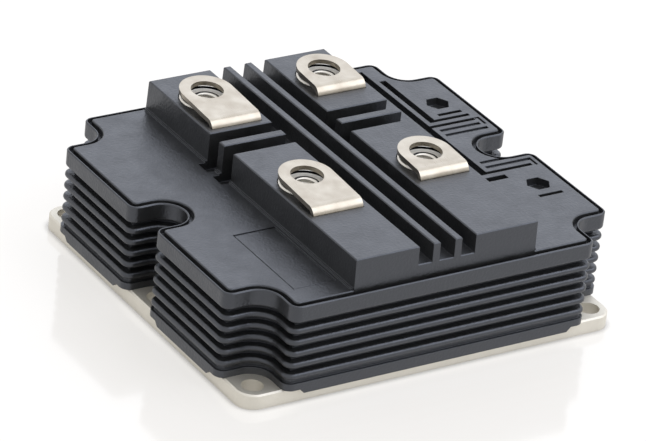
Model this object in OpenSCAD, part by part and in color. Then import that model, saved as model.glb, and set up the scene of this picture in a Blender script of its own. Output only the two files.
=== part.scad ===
// Dual power diode module: a metal base plate, a ribbed plastic case, a lid with two
// terminal blocks, four folded screw terminals with their nuts, and the diode stacks inside.
// The origin is the middle of the plate's underside. X runs along the long side, Z is up.
// The front is the side at -Y; the anodes stand at -X and the cathodes at +X.

/* [Base plate] */
// Length of the base plate, along X
plate_l = 136; // [130:1:166]
// Width of the base plate, along Y
plate_w = 126; // [120:1:156]
// Thickness of the base plate
plate_t = 5; // [4:0.5:8]
// Corner radius of the base plate
plate_r = 6; // [2:0.5:7]
// Chamfer of the base plate's upper edge
plate_edge = 0.5; // [0.2:0.1:1]
// Diameter of the six fixing holes
hole_d = 7; // [5:0.1:8]
// Distance of a fixing hole from the plate's edges
hole_edge = 6; // [5.5:0.5:8]

/* [Case] */
// How far the case stands out past the plate at each end, along X
end_over = 2; // [1.2:0.1:3]
// How far the case stands out past the plate in front and behind, along Y
side_over = 1.7; // [1.2:0.1:3]
// Height of the case above the plate, up to its rim
case_h = 29.2; // [28:0.2:40]
// Radius of the screwdriver notches round the fixing holes
notch_r = 6.8; // [6:0.2:8]
// Radius of the rounded lips beside the notches
lip_r = 3.2; // [2.8:0.1:4]
// Number of ribs between the foot and the top band
rib_count = 5; // [3:1:5]
// Spacing of the ribs
rib_pitch = 3.95; // [3.6:0.05:4.2]
// Thickness of a rib, which has a half-round nose
rib_t = 2.05; // [1.6:0.05:2.8]
// Depth of the grooves between the ribs
rib_depth = 3; // [1.5:0.1:4]
// Wall left behind the grooves
wall_t = 3.5; // [2:0.25:5]
// Height of the foot band under the ribs
foot_h = 2.3; // [1.4:0.1:2.6]
// Width of the shallow groove between the foot band and the lowest rib
foot_gap = 1.3; // [0.4:0.1:1.5]
// How far the skirt laps down over the plate's edge
lap_drop = 1.5; // [0.4:0.1:2]
// How far the skirt stops short of the rounded lips
lap_trim = 2.2; // [1:0.1:4]
// Play between the skirt and the plate
lap_play = 0.15; // [0.05:0.05:0.3]
// Width of the rim round the lid
rim_w = 0.6; // [0.5:0.1:1.2]
// Chamfer of the rim's outer edge
rim_edge = 0.3; // [0.1:0.05:0.5]
// Width of the ledge that carries the lid
ledge_w = 1.4; // [1:0.1:1.8]
// Depth of the ledge below the rim
ledge_drop = 1.8; // [1.2:0.1:2.4]

/* [Lid] */
// Groove between the rim and the lid
lid_gap = 1.4; // [0.6:0.1:1.6]
// How far the lid's face stands above the rim
lid_rise = 0.45; // [0.2:0.05:1]
// Rounding of the lid's upper edge
lid_r = 0.5; // [0.2:0.05:0.6]
// Depth of the lid's plug below the ledge
plug_h = 2; // [1.6:0.1:3]
// Play between the plug and the case
plug_play = 0.3; // [0.1:0.05:0.5]

/* [Terminal blocks] */
// Distance between the inner faces of the two blocks
block_gap = 20.6; // [18:0.2:26]
// Width of a block
block_w = 22.7; // [21:0.1:26]
// Height of a block above the lid
block_h = 10.25; // [9:0.25:14]
// Wall of a hollow block
block_wall = 1.7; // [1:0.1:2]
// Slope of the blocks' end faces, as the setback at the top
block_draft = 0.5; // [0:0.1:1.5]
// Height of the channel floor above the lid
channel_h = 4.05; // [1:0.1:6]
// Thickness of the two long fins in the channel
fin_t = 2.5; // [1.5:0.1:3]
// Spacing of the two long fins
fin_pitch = 7.9; // [5:0.1:10]
// Place of the cross wall along Y
cross_y = 16.8; // [14:0.1:20]
// Thickness of the cross wall
cross_t = 3.1; // [2:0.1:4]
// Width of the groove on each side of the cross wall
cross_gap = 5.6; // [4:0.1:6]
// How far the cross grooves run out past the blocks into the lid
pocket_run = 3.2; // [1:0.1:5]
// Depth of the grooves and pockets cut into the lid
pocket_d = 2.6; // [1:0.1:3]
// Width of the bead along the foot of a block
bead_w = 0.7; // [0.3:0.1:1]
// Height of the bead along the foot of a block
bead_h = 0.6; // [0.3:0.1:1]
// Chamfer of the upper edges of blocks, fins and cross walls
block_edge = 0.3; // [0.1:0.05:0.5]

/* [Terminals] */
// Spacing of the two rows of terminals, along X
row_pitch = 43.8; // [40:0.1:48]
// Spacing of the front and back terminals, along Y
pair_pitch = 60.4; // [56:0.1:64]
// Place of the middle between front and back terminals, along Y
pair_y = 14.8; // [12:0.1:17]
// Width of a terminal strip
strip_w = 18; // [16:0.1:19]
// Thickness of a terminal strip
strip_t = 1.5; // [1:0.1:2]
// Outer radius of the fold
fold_r = 3.3; // [2.2:0.1:4]
// Rise of the tab towards its round end, in degrees
tab_rise = 3; // [0:0.5:6]
// Gap between the block and the underside of an anode tab, where the tab leaves the fold
anode_gap = 0.9; // [0.6:0.05:2]
// Gap between the block and the underside of a cathode tab, where the tab leaves the fold
cathode_gap = 1.25; // [0.6:0.05:2]
// Depth of the crease between the fold and the tab
crease = 0.05; // [0.03:0.01:0.1]
// Hole in the tab
tab_hole_d = 10.6; // [9:0.1:11]
// Distance from the fold's front to the hole on the anodes
anode_reach = 19; // [16:0.5:21]
// Distance from the fold's front to the hole on the cathodes
cathode_reach = 11.6; // [11.4:0.1:14]
// Length of the soldered foot of a terminal
foot_l = 11; // [8:0.5:12]
// Play of the strip in the slot of the block
slot_play = 0.2; // [0.1:0.05:0.3]

/* [Nuts] */
// Width of the nut across its flats
nut_af = 13; // [12:0.5:13]
// Height of the nut's hexagon
nut_h = 6.5; // [5:0.5:7.5]
// Diameter of the nut's flange
flange_d = 17.4; // [16:0.1:18]
// Thickness of the nut's flange
flange_t = 1.4; // [1:0.1:2]
// How far the flange stands out of the block
flange_proud = 0.4; // [0.1:0.1:0.8]
// Chamfer of the flange's upper edge
flange_edge = 0.4; // [0.1:0.1:0.8]
// Tapping bore of the nut
nut_bore_d = 6.8; // [6:0.1:7.2]
// Play of the nut in its pocket
nut_play = 0.3; // [0.1:0.05:0.4]
// Clearance bore below the nut for the screw's end
screw_d = 9; // [8.4:0.1:10]
// Depth of the clearance bore below the nut
screw_room = 3; // [1:0.5:4]

/* [Lid details] */
// Distance of the long groove beside the cathode block from the block
moat_off = 11.9; // [9:0.1:13]
// Width of the long groove
moat_w = 2.6; // [1.5:0.1:3]
// Back end of the long groove, from the lid's middle
moat_back = 60; // [50:0.5:60]
// Gap from the long groove to the second groove and the slots
moat_land = 1.7; // [1:0.1:3]
// Width of the second groove
second_w = 2.4; // [1.2:0.1:2.8]
// Back end of the second groove
second_back = 52; // [40:0.5:52]
// Length of the cross slots
slot_l = 15.4; // [10:0.1:16]
// Width of the cross slots
slot_w = 1.5; // [0.8:0.1:1.8]
// Spacing of the cross slots
slot_pitch = 3.25; // [2.8:0.05:3.6]
// Depth of the shallow slots
slot_d = 0.8; // [0.3:0.1:1.5]
// First slot of the back group, along Y
back_slot_y = 12; // [11.5:0.1:14]
// First slot of the front group, along Y
front_slot_y = -8; // [-10:0.1:-7]
// Distance of the hexagon pockets from the lid's side edge
hex_edge = 8.9; // [7:0.1:12]
// Width of the hexagon pockets across their flats
hex_af = 7.2; // [5:0.1:8]
// Place of the back hexagon pocket, along Y
hex_back_y = 32; // [30:0.5:40]
// Place of the front hexagon pocket, along Y
hex_front_y = -26.3; // [-34:0.1:-25]
// Length of the short bar slot in front of a hexagon pocket
bar_l = 9; // [5:0.5:10]
// Distance of the bar slot from its hexagon pocket
bar_off = 7.2; // [6:0.1:8]
// Length of the bent mark at the end of the cross slots
tick_l = 5; // [2:0.1:6]
// Width of the bent mark
tick_w = 0.9; // [0.5:0.1:1.2]
// Distance of the bent mark's outer edge past the cross slots
tick_off = 2; // [1.5:0.1:2.4]
// Extra length of the cross slots nearest to the middle notch
slot_more = 0.9; // [0.2:0.1:1.2]
// Length of the window in front of the front slots
window_l = 7.4; // [4:0.1:10]
// Width of the window
window_w = 2.5; // [1.5:0.1:3]
// Length of the shallow label place, along Y
label_l = 35.6; // [20:0.1:40]
// Width of the label place, along X
label_w = 15; // [8:0.1:16]
// Gap from the label place to the anode block
label_off = 1.7; // [1:0.1:4]
// Front end of the label place, from the lid's front edge
label_front = 7.5; // [4:0.1:16]
// Depth of the label place
label_d = 0.25; // [0.1:0.05:0.5]
// Width of the line round the label place
label_line = 0.45; // [0.2:0.05:0.8]

/* [Diode stacks] */
// Length of a ceramic substrate, along X
tile_l = 92; // [80:1:93]
// Width of a ceramic substrate, along Y
tile_w = 46; // [44:0.5:49]
// Distance between the two substrates
tile_gap = 8; // [4:0.5:10]
// Thickness of the ceramic
tile_t = 1; // [0.6:0.1:1.5]
// Thickness of the copper layers
copper_t = 0.3; // [0.2:0.05:0.5]
// Step from the ceramic's edge in to the copper
copper_inset = 1; // [0.5:0.1:2]
// Gap between the anode pad and the cathode pad
pad_gap = 2; // [1:0.1:3]
// Diode chips on each substrate
chip_count = 4; // [2:1:4]
// Side of a square diode chip
chip_s = 9.6; // [6:0.1:10]
// Thickness of a chip
chip_t = 0.6; // [0.3:0.05:0.8]
// Step from the cathode pad's inner edge to the chips
chip_edge = 0.8; // [0.3:0.1:1]
// Width of an aluminium bond ribbon
ribbon_w = 5; // [2:0.5:6]
// Thickness of a bond ribbon
ribbon_t = 0.3; // [0.2:0.05:0.4]
// Radius of a bond ribbon's loop
loop_r = 3.5; // [2.5:0.1:4]

/* [Hidden] */
$fn = 64;
eps = 0.01;

// Levels
rim_top = plate_t + case_h;
ledge_z = rim_top - ledge_drop;
lid_top = rim_top + lid_rise;
block_top = lid_top + block_h;
channel_floor = lid_top + channel_h;
pocket_floor = lid_top - pocket_d;
plug_floor = ledge_z - plug_h;
pad_floor = plate_t + copper_t + tile_t;
pad_top = pad_floor + copper_t;
chip_top = pad_top + chip_t;
seat_z = block_top + flange_proud - flange_t;
nut_floor = seat_z - nut_h;

// Half sizes of the case and the places of the fixing holes
case_x = plate_l / 2 + end_over;
case_y = plate_w / 2 + side_over;
hole_x = plate_l / 2 - hole_edge;
hole_y = plate_w / 2 - hole_edge;
hole_rows = [-hole_y, 0, hole_y];
side_in = notch_r + lip_r;
side_out = hole_y - notch_r - lip_r;
front_run = hole_x - notch_r - lip_r;
shell_t = rib_depth + wall_t;
web_bite = 0.4;
lid_inset = rim_w + lid_gap;
hatch_w = lid_inset + ledge_w;
lid_edge_w = hatch_w + plug_play;

// Terminal blocks
block_in = block_gap / 2;
block_out = block_in + block_w;
block_end = case_y - lid_inset;
block_mid = row_pitch / 2;
fold_in = fold_r - strip_t;
pair_ys = [pair_y - pair_pitch / 2, pair_y + pair_pitch / 2];
moat_x = block_out + moat_off;
land_x = moat_x + moat_w + moat_land;
hex_x = case_x - lid_inset - hex_edge;

// Diode stacks
tile_y = (tile_w + tile_gap) / 2;
chip_x = pad_gap / 2 + chip_edge + chip_s / 2;
chip_pitch = (tile_w - 2 * copper_inset) / chip_count;

plastic = [0.30, 0.31, 0.33];
nickel = [0.86, 0.83, 0.77];
plate_metal = [0.78, 0.77, 0.73];

// Repeats its children in all four quarters of the plan
module quarters() {
    for (sx = [0, 1])
        for (sy = [0, 1])
            mirror([sx, 0, 0]) mirror([0, sy, 0]) children();
}

// Straight wall that faces +Y, from the origin along +X; a section's x is its depth into the wall
module straight_wall(len) {
    rotate([90, 0, 90]) linear_extrude(len) mirror([1, 0]) children();
}

// Outward bend of the wall, from the angle turn to a quarter more
module lip_wall(turn) {
    rotate(turn) rotate_extrude(angle = 90) intersection() {
        translate([lip_r, 0]) mirror([1, 0]) children();
        square([lip_r + 1, 2 * block_top]);
    }
}

// Inward bend of the wall round a fixing hole
module notch_wall(turn, sweep) {
    rotate(turn) rotate_extrude(angle = sweep) translate([notch_r, 0]) children();
}

// Carries a wall section all the way round the notched outline of the case
module round_outline() {
    for (sy = [0, 1])
        mirror([0, sy, 0]) translate([-front_run, case_y, 0]) straight_wall(2 * front_run) children();
    for (sx = [0, 1])
        mirror([sx, 0, 0]) translate([hole_x, 0, 0]) notch_wall(90, 180) children();
    quarters() {
        translate([front_run, case_y - lip_r, 0]) lip_wall(0) children();
        translate([front_run + lip_r, case_y - lip_r, 0])
            rotate(-90) straight_wall(case_y - lip_r - hole_y) children();
        translate([hole_x, hole_y, 0]) notch_wall(180, 90) children();
        translate([hole_x, hole_y - notch_r, 0]) straight_wall(case_x - lip_r - hole_x) children();
        translate([case_x - lip_r, side_out, 0]) lip_wall(0) children();
        translate([case_x, side_out, 0]) rotate(-90) straight_wall(side_out - side_in) children();
        translate([case_x - lip_r, side_in, 0]) lip_wall(-90) children();
        translate([case_x - lip_r, notch_r, 0])
            rotate(180) straight_wall(case_x - lip_r - hole_x) children();
    }
}

// The notched outline set in by a distance, with plain corners, for what lies behind the edge
module inner_outline(inset) {
    r = notch_r + inset;
    far = plate_l;
    difference() {
        square([2 * (case_x - inset), 2 * (case_y - inset)], center = true);
        for (sx = [-1, 1]) {
            translate([sx * hole_x, 0]) circle(r);
            translate([sx * (hole_x + far / 2), 0]) square([far, 2 * r], center = true);
            for (sy = [-1, 1]) {
                translate([sx * hole_x, sy * hole_y]) circle(r);
                translate([sx * (hole_x - r + far / 2), sy * (hole_y + far / 2)])
                    square(far, center = true);
                translate([sx * (hole_x + far / 2), sy * (hole_y - r + far / 2)])
                    square(far, center = true);
            }
        }
    }
}

// Hollow of the case, with round pillars of wall behind the notches
module hollow_outline(inset) {
    difference() {
        square([2 * (case_x - inset), 2 * (case_y - inset)], center = true);
        for (sx = [-1, 1])
            for (y = hole_rows)
                translate([sx * hole_x, y]) circle(notch_r + inset);
    }
}

// Skirt along one wall, which faces +Y: a flat strip with slanted ends
module skirt(half, thick) {
    rotate([90, 0, 0]) linear_extrude(thick) polygon([
        [-half, plate_t + foot_h / 2], [-half, plate_t], [lap_drop - half, plate_t - lap_drop],
        [half - lap_drop, plate_t - lap_drop], [half, plate_t], [half, plate_t + foot_h / 2]
    ]);
}

// Skirts on all sides, which lap down over the plate's edge between the notches
module skirts() {
    for (sy = [0, 1])
        mirror([0, sy, 0]) translate([0, case_y, 0]) skirt(front_run - lap_trim, side_over - lap_play);
    quarters() translate([case_x, (side_in + side_out) / 2, 0])
        rotate(-90) skirt((side_out - side_in) / 2 - lap_trim, end_over - lap_play);
}

// Section of the plate's edge, from the centre of a corner outwards
module plate_section() {
    polygon([
        [0, 0], [plate_r, 0], [plate_r, plate_t - plate_edge], [plate_r - plate_edge, plate_t], [0, plate_t]
    ]);
}

module base_plate() {
    in_x = plate_l / 2 - plate_r;
    in_y = plate_w / 2 - plate_r;
    color(plate_metal) difference() {
        union() {
            translate([-in_x, -in_y, 0]) cube([2 * in_x, 2 * in_y, plate_t]);
            quarters() translate([in_x, in_y, 0]) rotate_extrude(angle = 90) plate_section();
            for (sy = [0, 1])
                mirror([0, sy, 0]) translate([-in_x, in_y, 0])
                    rotate([90, 0, 90]) linear_extrude(2 * in_x) plate_section();
            for (sx = [0, 1])
                mirror([sx, 0, 0]) translate([in_x, in_y, 0])
                    rotate([90, 0, 0]) linear_extrude(2 * in_y) plate_section();
        }
        for (sx = [-1, 1])
            for (y = hole_rows)
                translate([sx * hole_x, y, -1]) cylinder(h = plate_t + 2, d = hole_d);
    }
}

// One rib of the case, with a half-round nose
module rib_section() {
    translate([rib_t / 2, rib_t / 2]) circle(rib_t / 2);
    translate([rib_t / 2, 0]) square([rib_depth + web_bite - rib_t / 2, rib_t]);
}

// Section of the case wall: foot band, ribs and top band on a thin web, with the rim on top
module case_section() {
    first_rib = plate_t + foot_h + foot_gap;
    band = first_rib + rib_count * rib_pitch;
    depth = rib_depth + web_bite;
    translate([rib_depth, plate_t]) square([web_bite, ledge_z - plate_t]);
    translate([0, plate_t]) square([depth, foot_h]);
    translate([rib_depth / 3, plate_t]) square([depth - rib_depth / 3, foot_h + foot_gap + rib_t / 2]);
    for (i = [0:rib_count - 1])
        translate([0, first_rib + i * rib_pitch]) rib_section();
    translate([0, band]) rib_section();
    translate([0, band + rib_t / 2]) square([depth, ledge_z - band - rib_t / 2]);
    polygon([
        [0, ledge_z], [rim_w, ledge_z], [rim_w, rim_top], [rim_edge, rim_top], [0, rim_top - rim_edge]
    ]);
}

module case_frame() {
    color(plastic) difference() {
        union() {
            round_outline() case_section();
            translate([0, 0, plate_t]) linear_extrude(ledge_z - plate_t) difference() {
                inner_outline(rib_depth);
                hollow_outline(shell_t);
            }
            skirts();
        }
        translate([0, 0, plug_floor - plug_play])
            linear_extrude(plug_h + plug_play + 1) inner_outline(hatch_w);
    }
}

// Section of the lid's rounded edge, which stands on the ledge
module lid_section() {
    width = lid_edge_w + web_bite - lid_inset;
    translate([lid_inset, ledge_z]) square([width, lid_top - ledge_z - lid_r]);
    translate([lid_inset + lid_r, lid_top - lid_r]) circle(lid_r);
    translate([lid_inset + lid_r, lid_top - lid_r]) square([width - lid_r, lid_r]);
}

// Bar along Y between two faces at x0 and x1, with sloped ends and chamfered upper edges
module long_bar(x0, x1, z1) {
    foot = lid_top - 2 * lid_r;
    slope = block_draft / block_h;
    end = block_end - slope * (z1 - lid_top);
    low = end + slope * block_edge;
    intersection() {
        translate([x0, 0, 0]) rotate([90, 0, 90]) linear_extrude(x1 - x0) polygon([
            [-block_end, foot], [block_end, foot], [block_end, lid_top], [low, z1 - block_edge],
            [end - block_edge, z1], [block_edge - end, z1], [-low, z1 - block_edge], [-block_end, lid_top]
        ]);
        translate([0, plate_w, 0]) rotate([90, 0, 0]) linear_extrude(2 * plate_w) polygon([
            [x0, foot], [x1, foot], [x1, z1 - block_edge], [x1 - block_edge, z1], [x0 + block_edge, z1],
            [x0, z1 - block_edge]
        ]);
    }
}

// Blocks, channel and fins on the lid
module lid_top_works() {
    long_bar(-block_in - block_wall, block_in + block_wall, channel_floor);
    for (sx = [-1, 1]) {
        long_bar(min(sx * block_in, sx * block_out), max(sx * block_in, sx * block_out), block_top);
        translate([sx * fin_pitch / 2, 0, 0]) long_bar(-fin_t / 2, fin_t / 2, block_top);
        translate([sx * block_out, 0, lid_top + bead_h / 2 - eps])
            cube([2 * bead_w, 2 * (block_end - lid_r), bead_h], center = true);
    }
}

// Grooves on both sides of the cross walls, down into the lid, with chamfered upper edges
module cross_grooves() {
    run = block_w + pocket_run + eps;
    half = cross_gap / 2;
    for (sx = [0, 1])
        for (sy = [-1, 1])
            mirror([sx, 0, 0]) translate([block_in - eps, cross_y + sy * (cross_t + cross_gap) / 2, 0])
                rotate([90, 0, 90]) linear_extrude(run) polygon([
                    [-half, pocket_floor], [half, pocket_floor], [half, block_top - block_edge],
                    [half + block_edge, block_top], [half + block_edge, block_top + 1],
                    [-half - block_edge, block_top + 1], [-half - block_edge, block_top],
                    [-half, block_top - block_edge]
                ]);
}

// Rectangular cut in the lid's face
module lid_cut(x0, x1, y0, y1, depth) {
    translate([x0, y0, lid_top - depth]) cube([x1 - x0, y1 - y0, depth + 1]);
}

// Groove pattern beside the cathode block
module lid_slots() {
    end_x = land_x + slot_l;
    front_deep = front_slot_y - 2 * slot_pitch;
    back_deep = back_slot_y + 2 * slot_pitch;
    second_front = back_slot_y + 3 * slot_pitch;
    lid_cut(moat_x, moat_x + moat_w, front_deep - slot_w / 2, moat_back, pocket_d);
    for (y = [front_deep, back_deep])
        lid_cut(moat_x, end_x, y - slot_w / 2, y + slot_w / 2, pocket_d);
    lid_cut(land_x, end_x, second_front - slot_w / 2, second_front + slot_w / 2, pocket_d);
    lid_cut(land_x, land_x + second_w, second_front, second_back, pocket_d);
    for (i = [0, 1]) {
        y_back = back_slot_y + i * slot_pitch;
        y_front = front_slot_y - i * slot_pitch;
        back_end = end_x + slot_more * (1 - i);
        front_end = end_x + tick_off * i;
        lid_cut(land_x, back_end, y_back - slot_w / 2, y_back + slot_w / 2, slot_d);
        lid_cut(land_x, front_end, y_front - slot_w / 2, y_front + slot_w / 2, slot_d);
    }
    for (y = [hex_back_y, hex_front_y]) {
        translate([hex_x, y, pocket_floor]) cylinder(h = pocket_d + 1, d = hex_af / cos(30), $fn = 6);
        bar_y = y - bar_off;
        lid_cut(hex_x - bar_l / 2, hex_x + bar_l / 2, bar_y - slot_w / 2, bar_y + slot_w / 2, pocket_d);
    }
    tick_x = end_x + tick_off;
    back_tick = back_deep + slot_w / 2;
    front_tick = front_slot_y - slot_pitch + slot_w / 2;
    for (y = [back_tick, front_tick])
        lid_cut(tick_x - tick_w, tick_x, y - tick_l, y, slot_d);
    lid_cut(tick_x - 2 * tick_w, tick_x, back_tick - tick_w, back_tick, slot_d);
    window_y = front_deep - slot_pitch - slot_w / 2;
    lid_cut(moat_x, moat_x + window_l, window_y - window_w / 2, window_y + window_w / 2, pocket_d);
}

module label_place() {
    x1 = -block_out - label_off;
    y0 = -block_end + label_front;
    x0 = x1 - label_w;
    y1 = y0 + label_l;
    lid_cut(x0, x1, y0, y1, label_d);
    for (x = [x0, x1 - label_line]) lid_cut(x, x + label_line, y0, y1, 2 * label_d);
    for (y = [y0, y1 - label_line]) lid_cut(x0, x1, y, y + label_line, 2 * label_d);
}

// Hollow under one block, from the lid's underside; the cross walls stay solid
module block_hollow() {
    inner = case_y - shell_t - plug_play - block_wall;
    rib_0 = cross_y - cross_t / 2 - cross_gap - block_wall;
    rib_1 = cross_y + cross_t / 2 + cross_gap + block_wall;
    width = block_w - 2 * block_wall;
    for (span = [[-inner, rib_0], [rib_1, inner]])
        translate([block_in + block_wall, span[0], plug_floor - 1])
            cube([width, span[1] - span[0], block_top - block_wall - plug_floor + 1]);
}

// Solid seat for a nut inside a block, behind the terminal strip
module nut_tower() {
    front = flange_d / 2 + nut_play + 0.6;
    translate([block_in, -front, nut_floor - screw_room - block_wall])
        cube([block_w, 2 * front, block_top - nut_floor + screw_room + block_wall]);
}

// Pocket for a nut, with room for the end of the screw
module nut_pocket() {
    translate([0, 0, seat_z]) cylinder(h = block_h, d = flange_d + 2 * nut_play);
    translate([0, 0, nut_floor - nut_play])
        cylinder(h = nut_h + 1, d = (nut_af + 2 * nut_play) / cos(30), $fn = 6);
    translate([0, 0, nut_floor - screw_room]) cylinder(h = screw_room + 1, d = screw_d);
}

// Height of the fold's centre, for a tab that leaves the fold at a gap above the block
function fold_level(gap) = block_top + gap + crease - fold_in;

// Slot that a terminal strip comes out of, with the hole's place at the origin.
// Its back edge clears the inside of the fold, which starts to lean over inside the slot.
module strip_slot(reach, gap) {
    dip = max(0, block_top - fold_level(gap));
    lean = fold_in - sqrt(fold_in * fold_in - dip * dip);
    translate([-strip_w / 2 - slot_play, -reach - slot_play, plug_floor - 1])
        cube([strip_w + 2 * slot_play, strip_t + lean + 2 * slot_play, block_top]);
}

module lid() {
    color(plastic) difference() {
        union() {
            round_outline() lid_section();
            translate([0, 0, plug_floor]) linear_extrude(lid_top - plug_floor) inner_outline(lid_edge_w);
            lid_top_works();
        }
        cross_grooves();
        lid_slots();
        label_place();
        for (sx = [0, 1]) mirror([sx, 0, 0]) difference() {
            block_hollow();
            for (y = pair_ys) translate([0, y, 0]) nut_tower();
        }
        for (y = pair_ys) {
            translate([-block_mid, y, 0]) nut_pocket();
            translate([block_mid, y, 0]) nut_pocket();
            translate([-block_mid, y, 0]) strip_slot(anode_reach, anode_gap);
            translate([block_mid, y, 0]) strip_slot(cathode_reach, cathode_gap);
        }
    }
}

// Fold and rising tab, seen from the side, from the fold's centre. The fold turns a little more
// than a quarter and ends inside the tab, so that a crease marks where the two meet.
module fold_profile(run) {
    over = acos((1 - crease / (fold_r - strip_t / 2)) * cos(tab_rise)) - tab_rise;
    under = fold_in - crease;
    climb = run * tan(tab_rise);
    thick = strip_t / cos(tab_rise);
    difference() {
        union() {
            intersection() {
                circle(fold_r);
                polygon([
                    [0, 0], [-2 * fold_r, 0], [-2 * fold_r, 2 * fold_r], [2 * fold_r * tan(over), 2 * fold_r]
                ]);
            }
            polygon([[0, under], [run, under + climb], [run, under + climb + thick], [0, under + thick]]);
        }
        circle(fold_in);
    }
}

// Tab from above, with its round end and its hole at a distance
module tab_outline(len) {
    difference() {
        union() {
            translate([-strip_w / 2, -fold_r]) square([strip_w, len + fold_r]);
            translate([0, len]) circle(d = strip_w);
        }
        translate([0, len]) circle(d = tab_hole_d);
    }
}

// Folded terminal: soldered foot, upright strip, fold and rising tab with a round end.
// The hole stands over the origin; the strip rises a reach in front of it.
module terminal(reach, gap) {
    fold_z = fold_level(gap);
    color(nickel) translate([0, -reach, 0]) {
        translate([-strip_w / 2, 0, pad_top]) cube([strip_w, foot_l, strip_t]);
        translate([-strip_w / 2, 0, pad_top]) cube([strip_w, strip_t, fold_z - pad_top]);
        intersection() {
            translate([-strip_w, fold_r, fold_z]) rotate([90, 0, 90])
                linear_extrude(2 * strip_w) fold_profile(reach + strip_w);
            translate([0, 0, fold_z - fold_r]) linear_extrude(4 * fold_r) tab_outline(reach);
        }
    }
}

module anode_terminal(i) {
    translate([-block_mid, pair_ys[i], 0]) terminal(anode_reach, anode_gap);
}

module cathode_terminal(i) {
    translate([block_mid, pair_ys[i], 0]) terminal(cathode_reach, cathode_gap);
}

// Flanged screw nut in its pocket
module nut(i) {
    side = i < 2 ? -1 : 1;
    color(nickel) translate([side * block_mid, pair_ys[i % 2], nut_floor]) difference() {
        union() {
            cylinder(h = nut_h, d = nut_af / cos(30), $fn = 6);
            translate([0, 0, nut_h]) cylinder(h = flange_t - flange_edge, d = flange_d);
            translate([0, 0, nut_h + flange_t - flange_edge])
                cylinder(h = flange_edge, d1 = flange_d, d2 = flange_d - 2 * flange_edge);
        }
        translate([0, 0, -1]) cylinder(h = nut_h + flange_t + 2, d = nut_bore_d);
    }
}

// Flat layer of a stack, centred on its substrate
module layer(i, x0, x1, inset, z, t) {
    side = i == 0 ? -1 : 1;
    translate([x0, side * tile_y - tile_w / 2 + inset, z]) cube([x1 - x0, tile_w - 2 * inset, t]);
}

module back_copper(i) {
    half = tile_l / 2 - copper_inset;
    color("peru") layer(i, -half, half, copper_inset, plate_t, copper_t);
}

module substrate(i) {
    color("ivory") layer(i, -tile_l / 2, tile_l / 2, 0, plate_t + copper_t, tile_t);
}

module anode_pad(i) {
    color("peru") layer(i, copper_inset - tile_l / 2, -pad_gap / 2, copper_inset, pad_floor, copper_t);
}

module cathode_pad(i) {
    color("peru") layer(i, pad_gap / 2, tile_l / 2 - copper_inset, copper_inset, pad_floor, copper_t);
}

// Place of a chip along Y: the first half of the chips lies on the front substrate
function chip_y(i) =
    (i < chip_count ? -1 : 1) * tile_y + (i % chip_count - (chip_count - 1) / 2) * chip_pitch;

module chip(i) {
    color("dimgray") translate([chip_x - chip_s / 2, chip_y(i) - chip_s / 2, pad_top])
        cube([chip_s, chip_s, chip_t]);
}

// Bond ribbon: a half-round loop from the chip down to the anode pad
module bond_ribbon(i) {
    land = pad_gap / 2 + chip_edge + 1.5;
    mid_x = land - loop_r;
    color("silver") translate([mid_x, chip_y(i) - ribbon_w / 2, chip_top]) {
        translate([0, ribbon_w, 0]) rotate([90, 0, 0]) rotate_extrude(angle = 180)
            translate([loop_r, 0]) square([ribbon_t, ribbon_w]);
        translate([-loop_r - ribbon_t, 0, -chip_t]) cube([ribbon_t, ribbon_w, chip_t]);
        translate([-loop_r - 2, 0, -chip_t]) cube([2, ribbon_w, ribbon_t]);
        translate([loop_r, 0, 0]) cube([2, ribbon_w, ribbon_t]);
    }
}

base_plate();
case_frame();
lid();
for (i = [0, 1]) {
    anode_terminal(i);
    cathode_terminal(i);
    back_copper(i);
    substrate(i);
    anode_pad(i);
    cathode_pad(i);
}
for (i = [0:3])
    nut(i);
for (i = [0:2 * chip_count - 1]) {
    chip(i);
    bond_ribbon(i);
}
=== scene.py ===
"""Power diode module on a white studio floor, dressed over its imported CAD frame."""
import math

import bmesh
import bpy
from mathutils import Matrix, Vector


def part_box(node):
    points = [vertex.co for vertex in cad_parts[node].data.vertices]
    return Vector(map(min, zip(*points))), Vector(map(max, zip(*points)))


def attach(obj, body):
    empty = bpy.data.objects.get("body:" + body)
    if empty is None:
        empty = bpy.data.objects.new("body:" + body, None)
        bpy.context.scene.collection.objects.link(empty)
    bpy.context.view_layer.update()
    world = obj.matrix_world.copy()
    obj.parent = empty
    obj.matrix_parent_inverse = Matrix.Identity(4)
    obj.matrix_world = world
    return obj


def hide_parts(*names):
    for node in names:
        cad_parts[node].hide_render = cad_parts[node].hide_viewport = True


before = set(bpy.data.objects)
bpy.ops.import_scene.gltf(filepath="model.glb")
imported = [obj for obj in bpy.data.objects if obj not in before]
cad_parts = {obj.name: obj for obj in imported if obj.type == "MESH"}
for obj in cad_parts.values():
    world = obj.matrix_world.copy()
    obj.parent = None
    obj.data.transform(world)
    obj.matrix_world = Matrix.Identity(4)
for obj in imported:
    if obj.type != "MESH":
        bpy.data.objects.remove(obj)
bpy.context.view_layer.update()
MM = 0.001

# Camera, in metres and degrees, with its focal length in pixels of the 646 pixel wide image
IMAGE_W = 646
FOCAL_PX = 4450.7
SENSOR_W = 36
CAM_AZIMUTH = -35.093
CAM_ELEVATION = 28.37
CAM_ROLL = 6.641
CAM_DISTANCE = 1.4
CAM_TARGET = Vector((-0.00297, 0.00032, 0.0200))

# Thread of the nuts: M8 with its usual pitch and flank, and a narrow chamfer at its mouth
THREAD_PITCH = 1.25 * MM
THREAD_ROOT_R = 4.0 * MM
THREAD_START_R = 3.2 * MM
THREAD_FLAT = THREAD_PITCH / 8
THREAD_FLANK = math.radians(30)
THREAD_STEPS = 48
MOUTH_R = 4.3 * MM
MOUTH_STEPS = 64

# Groove in the top of the nuts, between the collar round the thread and the flange's rim
GROOVE_IN_R = 6.4 * MM
GROOVE_OUT_R = 8.0 * MM
GROOVE_DEPTH = 1.2 * MM
GROOVE_STEPS = 96

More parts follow.
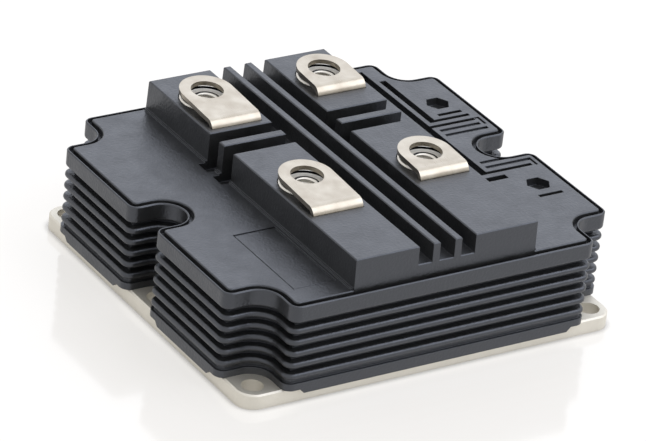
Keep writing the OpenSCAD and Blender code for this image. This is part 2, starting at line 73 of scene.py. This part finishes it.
# Making of the nuts: points nearer than MERGE become one, and the chamfer's cutter stands
# OVERCUT above the face that it cuts
MERGE = 0.001 * MM
OVERCUT = 0.01 * MM
SMOOTH_ANGLE = math.radians(25)

# Floor: its width, the part of it that glows to the eye, and how far from a wall a painted contact
# shadow dims the glow
FLOOR_SIZE = 8.0
FLOOR_GLOW = 0.75
CONTACT_REACH = 3.0 * MM

# Surround: how strongly it lights, and how strongly it is seen, where 1 is white
WORLD_LIGHT = 0.75
WORLD_SEEN = 1.0

# Sockets of the colour mix node
MIX_FACTOR, MIX_A, MIX_B, MIX_COLOUR = 0, 6, 7, 2


def linear(code):
    """Linear colour of an sRGB hex code."""
    parts = [int(code[i:i + 2], 16) / 255 for i in (1, 3, 5)]
    return [c / 12.92 if c <= 0.04045 else ((c + 0.055) / 1.055) ** 2.4 for c in parts] + [1.0]


def per_mm(size_mm):
    """Pattern scale whose features are about size_mm wide on coordinates in metres."""
    return 1.0 / (size_mm * MM)


def add_node(tree, kind, inputs, **settings):
    """Adds a shader node. Each input is a plain value or the output that feeds it."""
    node = tree.nodes.new(kind)
    for key, value in settings.items():
        setattr(node, key, value)
    for key, value in inputs.items():
        if isinstance(value, bpy.types.NodeSocket):
            tree.links.new(value, node.inputs[key])
        else:
            node.inputs[key].default_value = value
    return node


def new_material(name):
    """Empty node material and its tree."""
    material = bpy.data.materials.new(name)
    material.use_nodes = True
    material.node_tree.nodes.clear()
    return material, material.node_tree


def moulded_plastic():
    """Glass-filled black thermoplastic from a spark-eroded mould: satin and softly mottled.

    A fine grain breaks up its highlights, and its edges catch the light. The real grain of about
    0.1 mm is too fine to show, so it is drawn 0.9 mm wide and deeper to match.
    """
    material, tree = new_material("moulded_black_plastic")
    coords = add_node(tree, "ShaderNodeTexCoord", {}).outputs["Object"]
    grain = add_node(tree, "ShaderNodeTexNoise", {
        "Vector": coords, "Scale": per_mm(0.9), "Detail": 3.0})
    cloud = add_node(tree, "ShaderNodeTexNoise", {
        "Vector": coords, "Scale": per_mm(9.0), "Detail": 5.0, "Roughness": 0.75})
    colour = add_node(tree, "ShaderNodeMix", {
        MIX_FACTOR: cloud.outputs["Fac"], MIX_A: linear("#171716"), MIX_B: linear("#252524")},
        data_type="RGBA")
    rough = add_node(tree, "ShaderNodeMapRange", {
        "Value": cloud.outputs["Fac"], "From Min": 0.3, "From Max": 0.7,
        "To Min": 0.28, "To Max": 0.48})
    edge = add_node(tree, "ShaderNodeBevel", {"Radius": 0.3 * MM}, samples=6)
    bump = add_node(tree, "ShaderNodeBump", {
        "Height": grain.outputs["Fac"], "Strength": 0.6, "Distance": 0.2 * MM,
        "Normal": edge.outputs["Normal"]})
    shader = add_node(tree, "ShaderNodeBsdfPrincipled", {
        "Base Color": colour.outputs[MIX_COLOUR], "Roughness": rough.outputs["Result"],
        "IOR": 1.75, "Specular Tint": linear("#eaf0ff"), "Normal": bump.outputs["Normal"]})
    add_node(tree, "ShaderNodeOutputMaterial", {"Surface": shader.outputs["BSDF"]})
    return material


def nickel_plate(name, dark, light, rough_low, rough_high, line_mm):
    """Satin nickel plating: a warm pale metal with faint lines from rolling or brushing along Y.

    The real lines of about 0.05 mm are too fine to show, so they are drawn line_mm wide.
    """
    material, tree = new_material(name)
    coords = add_node(tree, "ShaderNodeTexCoord", {}).outputs["Object"]
    along = add_node(tree, "ShaderNodeMapping", {"Vector": coords, "Scale": (1.0, 0.06, 1.0)})
    lines = add_node(tree, "ShaderNodeTexNoise", {
        "Vector": along.outputs["Vector"], "Scale": per_mm(line_mm), "Detail": 3.0})
    cloud = add_node(tree, "ShaderNodeTexNoise", {
        "Vector": coords, "Scale": per_mm(6.0), "Detail": 2.0})
    colour = add_node(tree, "ShaderNodeMix", {
        MIX_FACTOR: cloud.outputs["Fac"], MIX_A: linear(dark), MIX_B: linear(light)},
        data_type="RGBA")
    rough = add_node(tree, "ShaderNodeMapRange", {
        "Value": lines.outputs["Fac"], "To Min": rough_low, "To Max": rough_high})
    bump = add_node(tree, "ShaderNodeBump", {
        "Height": lines.outputs["Fac"], "Strength": 0.10, "Distance": 0.02 * MM})
    shader = add_node(tree, "ShaderNodeBsdfPrincipled", {
        "Base Color": colour.outputs[MIX_COLOUR], "Metallic": 1.0,
        "Roughness": rough.outputs["Result"], "Normal": bump.outputs["Normal"]})
    add_node(tree, "ShaderNodeOutputMaterial", {"Surface": shader.outputs["BSDF"]})
    return material


def two_tone(name, dark, light, metallic, roughness, grain_mm):
    """Plain finish of an inner surface: two close tones over a faint grain.

    The grain is drawn coarser than the real one, so that it shows.
    """
    material, tree = new_material(name)
    coords = add_node(tree, "ShaderNodeTexCoord", {}).outputs["Object"]
    grain = add_node(tree, "ShaderNodeTexNoise", {
        "Vector": coords, "Scale": per_mm(grain_mm), "Detail": 2.0})
    colour = add_node(tree, "ShaderNodeMix", {
        MIX_FACTOR: grain.outputs["Fac"], MIX_A: linear(dark), MIX_B: linear(light)},
        data_type="RGBA")
    bump = add_node(tree, "ShaderNodeBump", {
        "Height": grain.outputs["Fac"], "Strength": 0.1, "Distance": 0.02 * MM})
    shader = add_node(tree, "ShaderNodeBsdfPrincipled", {
        "Base Color": colour.outputs[MIX_COLOUR], "Metallic": metallic, "Roughness": roughness,
        "Normal": bump.outputs["Normal"]})
    add_node(tree, "ShaderNodeOutputMaterial", {"Surface": shader.outputs["BSDF"]})
    return material


def what_is_seen(tree):
    """Output that is 1 to the eye, in mirrors and through clear pieces, and 0 for plain light."""
    rays = add_node(tree, "ShaderNodeLightPath", {})
    mirror = add_node(tree, "ShaderNodeMath", {
        0: rays.outputs["Is Glossy Ray"], 1: rays.outputs["Is Transmission Ray"]}, operation="ADD")
    seen = add_node(tree, "ShaderNodeMath", {
        0: rays.outputs["Is Camera Ray"], 1: mirror.outputs["Value"]}, operation="ADD")
    return seen.outputs["Value"]


def white_floor():
    """Lit white acrylic sheet of a light table: glows white, takes a soft shadow, mirrors a little.

    Close to what stands on the sheet the glow is dimmed by ambient occlusion, a painted contact
    shadow.
    """
    material, tree = new_material("lit_white_acrylic")
    matt = add_node(tree, "ShaderNodeBsdfDiffuse", {"Color": linear("#f7f4f1")})
    # Painted contact shadow: ambient occlusion dims the glow near what stands on the sheet
    near = add_node(tree, "ShaderNodeAmbientOcclusion", {"Distance": CONTACT_REACH}, samples=8)
    shade = add_node(tree, "ShaderNodeMapRange", {
        "Value": near.outputs["AO"], "From Min": 0.5, "From Max": 0.9,
        "To Min": 0.4, "To Max": 1.0})
    glow = add_node(tree, "ShaderNodeEmission", {
        "Color": linear("#fffdfa"), "Strength": shade.outputs["Result"]})
    gloss = add_node(tree, "ShaderNodeBsdfGlossy", {
        "Color": linear("#ffffff"), "Roughness": 0.1})
    share = add_node(tree, "ShaderNodeMath", {
        0: what_is_seen(tree), 1: FLOOR_GLOW}, operation="MULTIPLY")
    sheet = add_node(tree, "ShaderNodeMixShader", {
        0: share.outputs["Value"], 1: matt.outputs["BSDF"], 2: glow.outputs["Emission"]})
    polish = add_node(tree, "ShaderNodeFresnel", {"IOR": 1.4})
    mix = add_node(tree, "ShaderNodeMixShader", {
        0: polish.outputs["Fac"], 1: sheet.outputs["Shader"], 2: gloss.outputs["BSDF"]})
    add_node(tree, "ShaderNodeOutputMaterial", {"Surface": mix.outputs["Shader"]})
    return material


def numbered(stem, count):
    """Names stem_1 to stem_count."""
    return [f"{stem}_{i}" for i in range(1, count + 1)]


def dress(names, material):
    """Gives CAD nodes a material."""
    for name in names:
        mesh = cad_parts[name].data
        mesh.materials.clear()
        mesh.materials.append(material)


def dress_nodes():
    """Every CAD node gets the finish of its real material."""
    terminals = numbered("anode_terminal", 2) + numbered("cathode_terminal", 2)
    copper = numbered("back_copper", 2) + numbered("anode_pad", 2) + numbered("cathode_pad", 2)
    dress(["case_frame", "lid"], moulded_plastic())
    # Plate: dull and pale. Terminals: smoother, with stains. Nuts: bright.
    dress(["base_plate"], nickel_plate(
        "plate_nickel", "#d8d4ca", "#e3dfd6", rough_low=0.56, rough_high=0.70, line_mm=0.5))
    dress(terminals, nickel_plate(
        "terminal_nickel", "#928778", "#c8c2b6", rough_low=0.25, rough_high=0.32, line_mm=0.4))
    dress(numbered("nut", 4), nickel_plate(
        "nut_nickel", "#e4e0d8", "#eeebe5", rough_low=0.50, rough_high=0.60, line_mm=0.4))
    # Rolled copper: warm and half bright
    dress(copper, two_tone(
        "bare_copper", "#b87850", "#c48660", metallic=1.0, roughness=0.32, grain_mm=1.5))
    # Fired ceramic: matt and off-white
    dress(numbered("substrate", 2), two_tone(
        "fired_ceramic", "#d8d6ce", "#e2e0d8", metallic=0.0, roughness=0.5, grain_mm=0.8))
    # Silicon under a thin metal layer: grey and smooth
    dress(numbered("chip", 8), two_tone(
        "metallised_silicon", "#6a6d74", "#7a7d84", metallic=0.8, roughness=0.3, grain_mm=0.6))
    # Drawn aluminium ribbon: pale and bright
    dress(numbered("bond_ribbon", 8), two_tone(
        "drawn_aluminium", "#c8c8c8", "#d6d6d6", metallic=1.0, roughness=0.3, grain_mm=0.5))


def pick(*objects):
    """Selects only these objects and makes the first one active."""
    bpy.ops.object.select_all(action="DESELECT")
    for obj in objects:
        obj.select_set(True)
    bpy.context.view_layer.objects.active = objects[0]


def select_vertices(obj, test):
    """Selects, in edit mode, the vertices whose place passes a test."""
    mesh = bmesh.from_edit_mesh(obj.data)
    for vertex in mesh.verts:
        vertex.select_set(test(vertex.co))
    mesh.select_flush_mode()
    bmesh.update_edit_mesh(obj.data)


def apply_modifier(obj, kind, **settings):
    """Adds a modifier with its settings and applies it."""
    modifier = obj.modifiers.new(kind.lower(), kind)
    for key, value in settings.items():
        setattr(modifier, key, value)
    pick(obj)
    bpy.ops.object.modifier_apply(modifier=modifier.name)


def last_finish(cutter, finishes):
    """Gives a cutter the last of the nut's finishes, the near-black painted shade, which its cut
    then keeps.
    """
    for finish in finishes:
        cutter.data.materials.append(finish)
    for face in cutter.data.polygons:
        face.material_index = len(finishes) - 1


def thread_coil(middle, bottom, top):
    """Coil that cuts the thread: a flat trapezoid wound up past both ends of the bore."""
    depth = THREAD_ROOT_R - THREAD_START_R
    wide = THREAD_FLAT + 2 * depth * math.tan(THREAD_FLANK)
    bpy.ops.object.select_all(action="DESELECT")
    bpy.ops.mesh.primitive_plane_add(
        size=depth, location=(THREAD_START_R + depth / 2, 0, 0), rotation=(math.pi / 2, 0, 0))
    coil = bpy.context.object
    bpy.ops.object.transform_apply(location=True, rotation=True, scale=True)
    bpy.ops.object.mode_set(mode="EDIT")
    bpy.ops.mesh.select_mode(type="VERT")
    for radius, width in ((THREAD_START_R, wide), (THREAD_ROOT_R, THREAD_FLAT)):
        select_vertices(coil, lambda place: abs(place.x - radius) < depth / 4)
        bpy.ops.transform.resize(value=(1, 1, width / depth), center_override=(radius, 0, 0))
    bpy.ops.object.mode_set(mode="OBJECT")
    turns = math.ceil((top - bottom) / THREAD_PITCH) + 2
    apply_modifier(coil, "SCREW", axis="Z", angle=2 * math.pi, screw_offset=THREAD_PITCH,
                   iterations=turns, steps=THREAD_STEPS, render_steps=THREAD_STEPS)
    bpy.ops.object.mode_set(mode="EDIT")
    bpy.ops.mesh.select_all(action="DESELECT")
    bpy.ops.mesh.select_non_manifold()
    bpy.ops.mesh.fill()
    bpy.ops.mesh.select_all(action="SELECT")
    bpy.ops.mesh.normals_make_consistent(inside=False)
    bpy.ops.object.mode_set(mode="OBJECT")
    coil.location = (middle.x, middle.y, bottom - THREAD_PITCH)
    bpy.ops.object.transform_apply(location=True, rotation=False, scale=False)
    return coil


def mouth_cone(middle, top, finishes):
    """Cone that cuts the chamfer at the mouth of the thread."""
    depth = MOUTH_R - THREAD_ROOT_R
    bpy.ops.object.select_all(action="DESELECT")
    bpy.ops.mesh.primitive_cone_add(
        vertices=MOUTH_STEPS, radius1=THREAD_ROOT_R, radius2=MOUTH_R, depth=depth,
        location=(middle.x, middle.y, top - depth / 2 + OVERCUT))
    cone = bpy.context.object
    last_finish(cone, finishes)
    return cone


def collar_groove(middle, top, finishes):
    """Ring that cuts the groove between the nut's collar and the rim of its flange."""
    low = (middle.x, middle.y, top - GROOVE_DEPTH)
    wider = GROOVE_OUT_R / GROOVE_IN_R
    bpy.ops.object.select_all(action="DESELECT")
    bpy.ops.mesh.primitive_circle_add(
        vertices=GROOVE_STEPS, radius=GROOVE_IN_R, fill_type="NOTHING", location=low)
    ring = bpy.context.object
    bpy.ops.object.mode_set(mode="EDIT")
    bpy.ops.mesh.select_mode(type="EDGE")
    bpy.ops.mesh.select_all(action="SELECT")
    bpy.ops.mesh.extrude_edges_move()
    bpy.ops.transform.resize(value=(wider, wider, 1), center_override=low)
    bpy.ops.mesh.select_all(action="SELECT")
    bpy.ops.mesh.extrude_region_move(TRANSFORM_OT_translate={"value": (0, 0, 2 * GROOVE_DEPTH)})
    bpy.ops.mesh.select_all(action="SELECT")
    bpy.ops.mesh.normals_make_consistent(inside=False)
    bpy.ops.object.mode_set(mode="OBJECT")
    last_finish(ring, finishes)
    return ring


def nut_copy():
    """Copy of the first CAD nut, with its loose triangles merged."""
    nut = bpy.data.objects.new("threaded_nut_1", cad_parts["nut_1"].data.copy())
    bpy.context.scene.collection.objects.link(nut)
    pick(nut)
    bpy.ops.mesh.customdata_custom_splitnormals_clear()
    bpy.ops.object.mode_set(mode="EDIT")
    bpy.ops.mesh.select_all(action="SELECT")
    bpy.ops.mesh.remove_doubles(threshold=MERGE)
    bpy.ops.object.mode_set(mode="OBJECT")
    return nut


def threaded_nut(painted_shade_finish):
    """First nut: thread, chamfer and groove are cut into the plain nut; the faces of the chamfer
    and the groove take a near-black painted shade.
    """
    low, high = (Vector(corner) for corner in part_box("nut_1"))
    middle = (low + high) / 2
    nut = nut_copy()
    finishes = nut.data.materials
    finishes.append(painted_shade_finish)
    for cutter in (thread_coil(middle, low.z, high.z), mouth_cone(middle, high.z, finishes),
                   collar_groove(middle, high.z, finishes)):
        apply_modifier(nut, "BOOLEAN", operation="DIFFERENCE", solver="EXACT", object=cutter)
        bpy.data.objects.remove(cutter)
    pick(nut)
    bpy.ops.object.shade_smooth_by_angle(angle=SMOOTH_ANGLE)
    return nut


def threaded_nuts():
    """All four nuts, copied from the first one."""
    # Painted shade: a dull near-black finish on the cut faces of the groove and the mouth, where
    # shade falls
    first = threaded_nut(two_tone(
        "painted_shade_black_steel", "#151413", "#222120", metallic=0.5, roughness=0.45, grain_mm=0.5))
    home = Vector(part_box("nut_1")[0])
    for name in numbered("nut", 4):
        nut = first
        if name != "nut_1":
            nut = first.copy()
            nut.data = first.data.copy()
            nut.name = "threaded_" + name
            nut.data.transform(Matrix.Translation(Vector(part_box(name)[0]) - home))
            bpy.context.scene.collection.objects.link(nut)
        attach(nut, "root")
        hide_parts(name)


def studio_floor():
    """Large plane under the object."""
    bpy.ops.object.select_all(action="DESELECT")
    bpy.ops.mesh.primitive_plane_add(size=FLOOR_SIZE, location=(0, 0, 0))
    floor = bpy.context.object
    floor.name = "studio_floor"
    floor.data.materials.append(white_floor())


def outward(azimuth, elevation):
    """Direction from the object to a viewer or lamp; azimuth 0 is in front, at -Y."""
    a, e = math.radians(azimuth), math.radians(elevation)
    return Vector((math.sin(a) * math.cos(e), -math.cos(a) * math.cos(e), math.sin(e)))


def soft_box(name, colour, azimuth, elevation, distance, size, power):
    """Square area lamp that looks at the object."""
    data = bpy.data.lights.new(name, "AREA")
    data.color = linear(colour)[:3]
    data.shape = "SQUARE"
    data.size = size
    data.energy = power
    lamp = bpy.data.objects.new(name, data)
    bpy.context.scene.collection.objects.link(lamp)
    back = outward(azimuth, elevation)
    lamp.location = back * distance
    lamp.rotation_euler = back.to_track_quat("Z", "Y").to_euler()


def studio_world():
    """White surround: full white to the eye and in reflections, a little less as light."""
    world = bpy.data.worlds.new("studio")
    bpy.context.scene.world = world
    world.use_nodes = True
    tree = world.node_tree
    tree.nodes.clear()
    strength = add_node(tree, "ShaderNodeMapRange", {
        "Value": what_is_seen(tree), "To Min": WORLD_LIGHT, "To Max": WORLD_SEEN})
    sky = add_node(tree, "ShaderNodeBackground", {
        "Color": linear("#ffffff"), "Strength": strength.outputs["Result"]})
    add_node(tree, "ShaderNodeOutputWorld", {"Surface": sky.outputs["Background"]})


def photo_camera():
    """Long lens that looks down on the front left corner, tilted a little."""
    back = outward(CAM_AZIMUTH, CAM_ELEVATION)
    roll = math.radians(CAM_ROLL)
    level = Vector((0, 0, 1)).cross(back).normalized()
    upright = back.cross(level)
    right = math.cos(roll) * level + math.sin(roll) * upright
    up = math.cos(roll) * upright - math.sin(roll) * level
    data = bpy.data.cameras.new("photo_camera")
    data.sensor_width = SENSOR_W
    data.lens = data.sensor_width * FOCAL_PX / IMAGE_W
    camera = bpy.data.objects.new("photo_camera", data)
    bpy.context.scene.collection.objects.link(camera)
    turn = Matrix((right, up, back)).transposed().to_4x4()
    camera.matrix_world = Matrix.Translation(CAM_TARGET + back * CAM_DISTANCE) @ turn
    bpy.context.scene.camera = camera


dress_nodes()
threaded_nuts()
studio_floor()
studio_world()
soft_box("key_softbox", "#eef3ff", azimuth=50, elevation=50, distance=1.4, size=1.2, power=9.0)
soft_box("back_softbox", "#e6eeff", azimuth=145, elevation=38, distance=1.6, size=1.6, power=6.6)
photo_camera()
bpy.context.scene.view_settings.view_transform = "Standard"
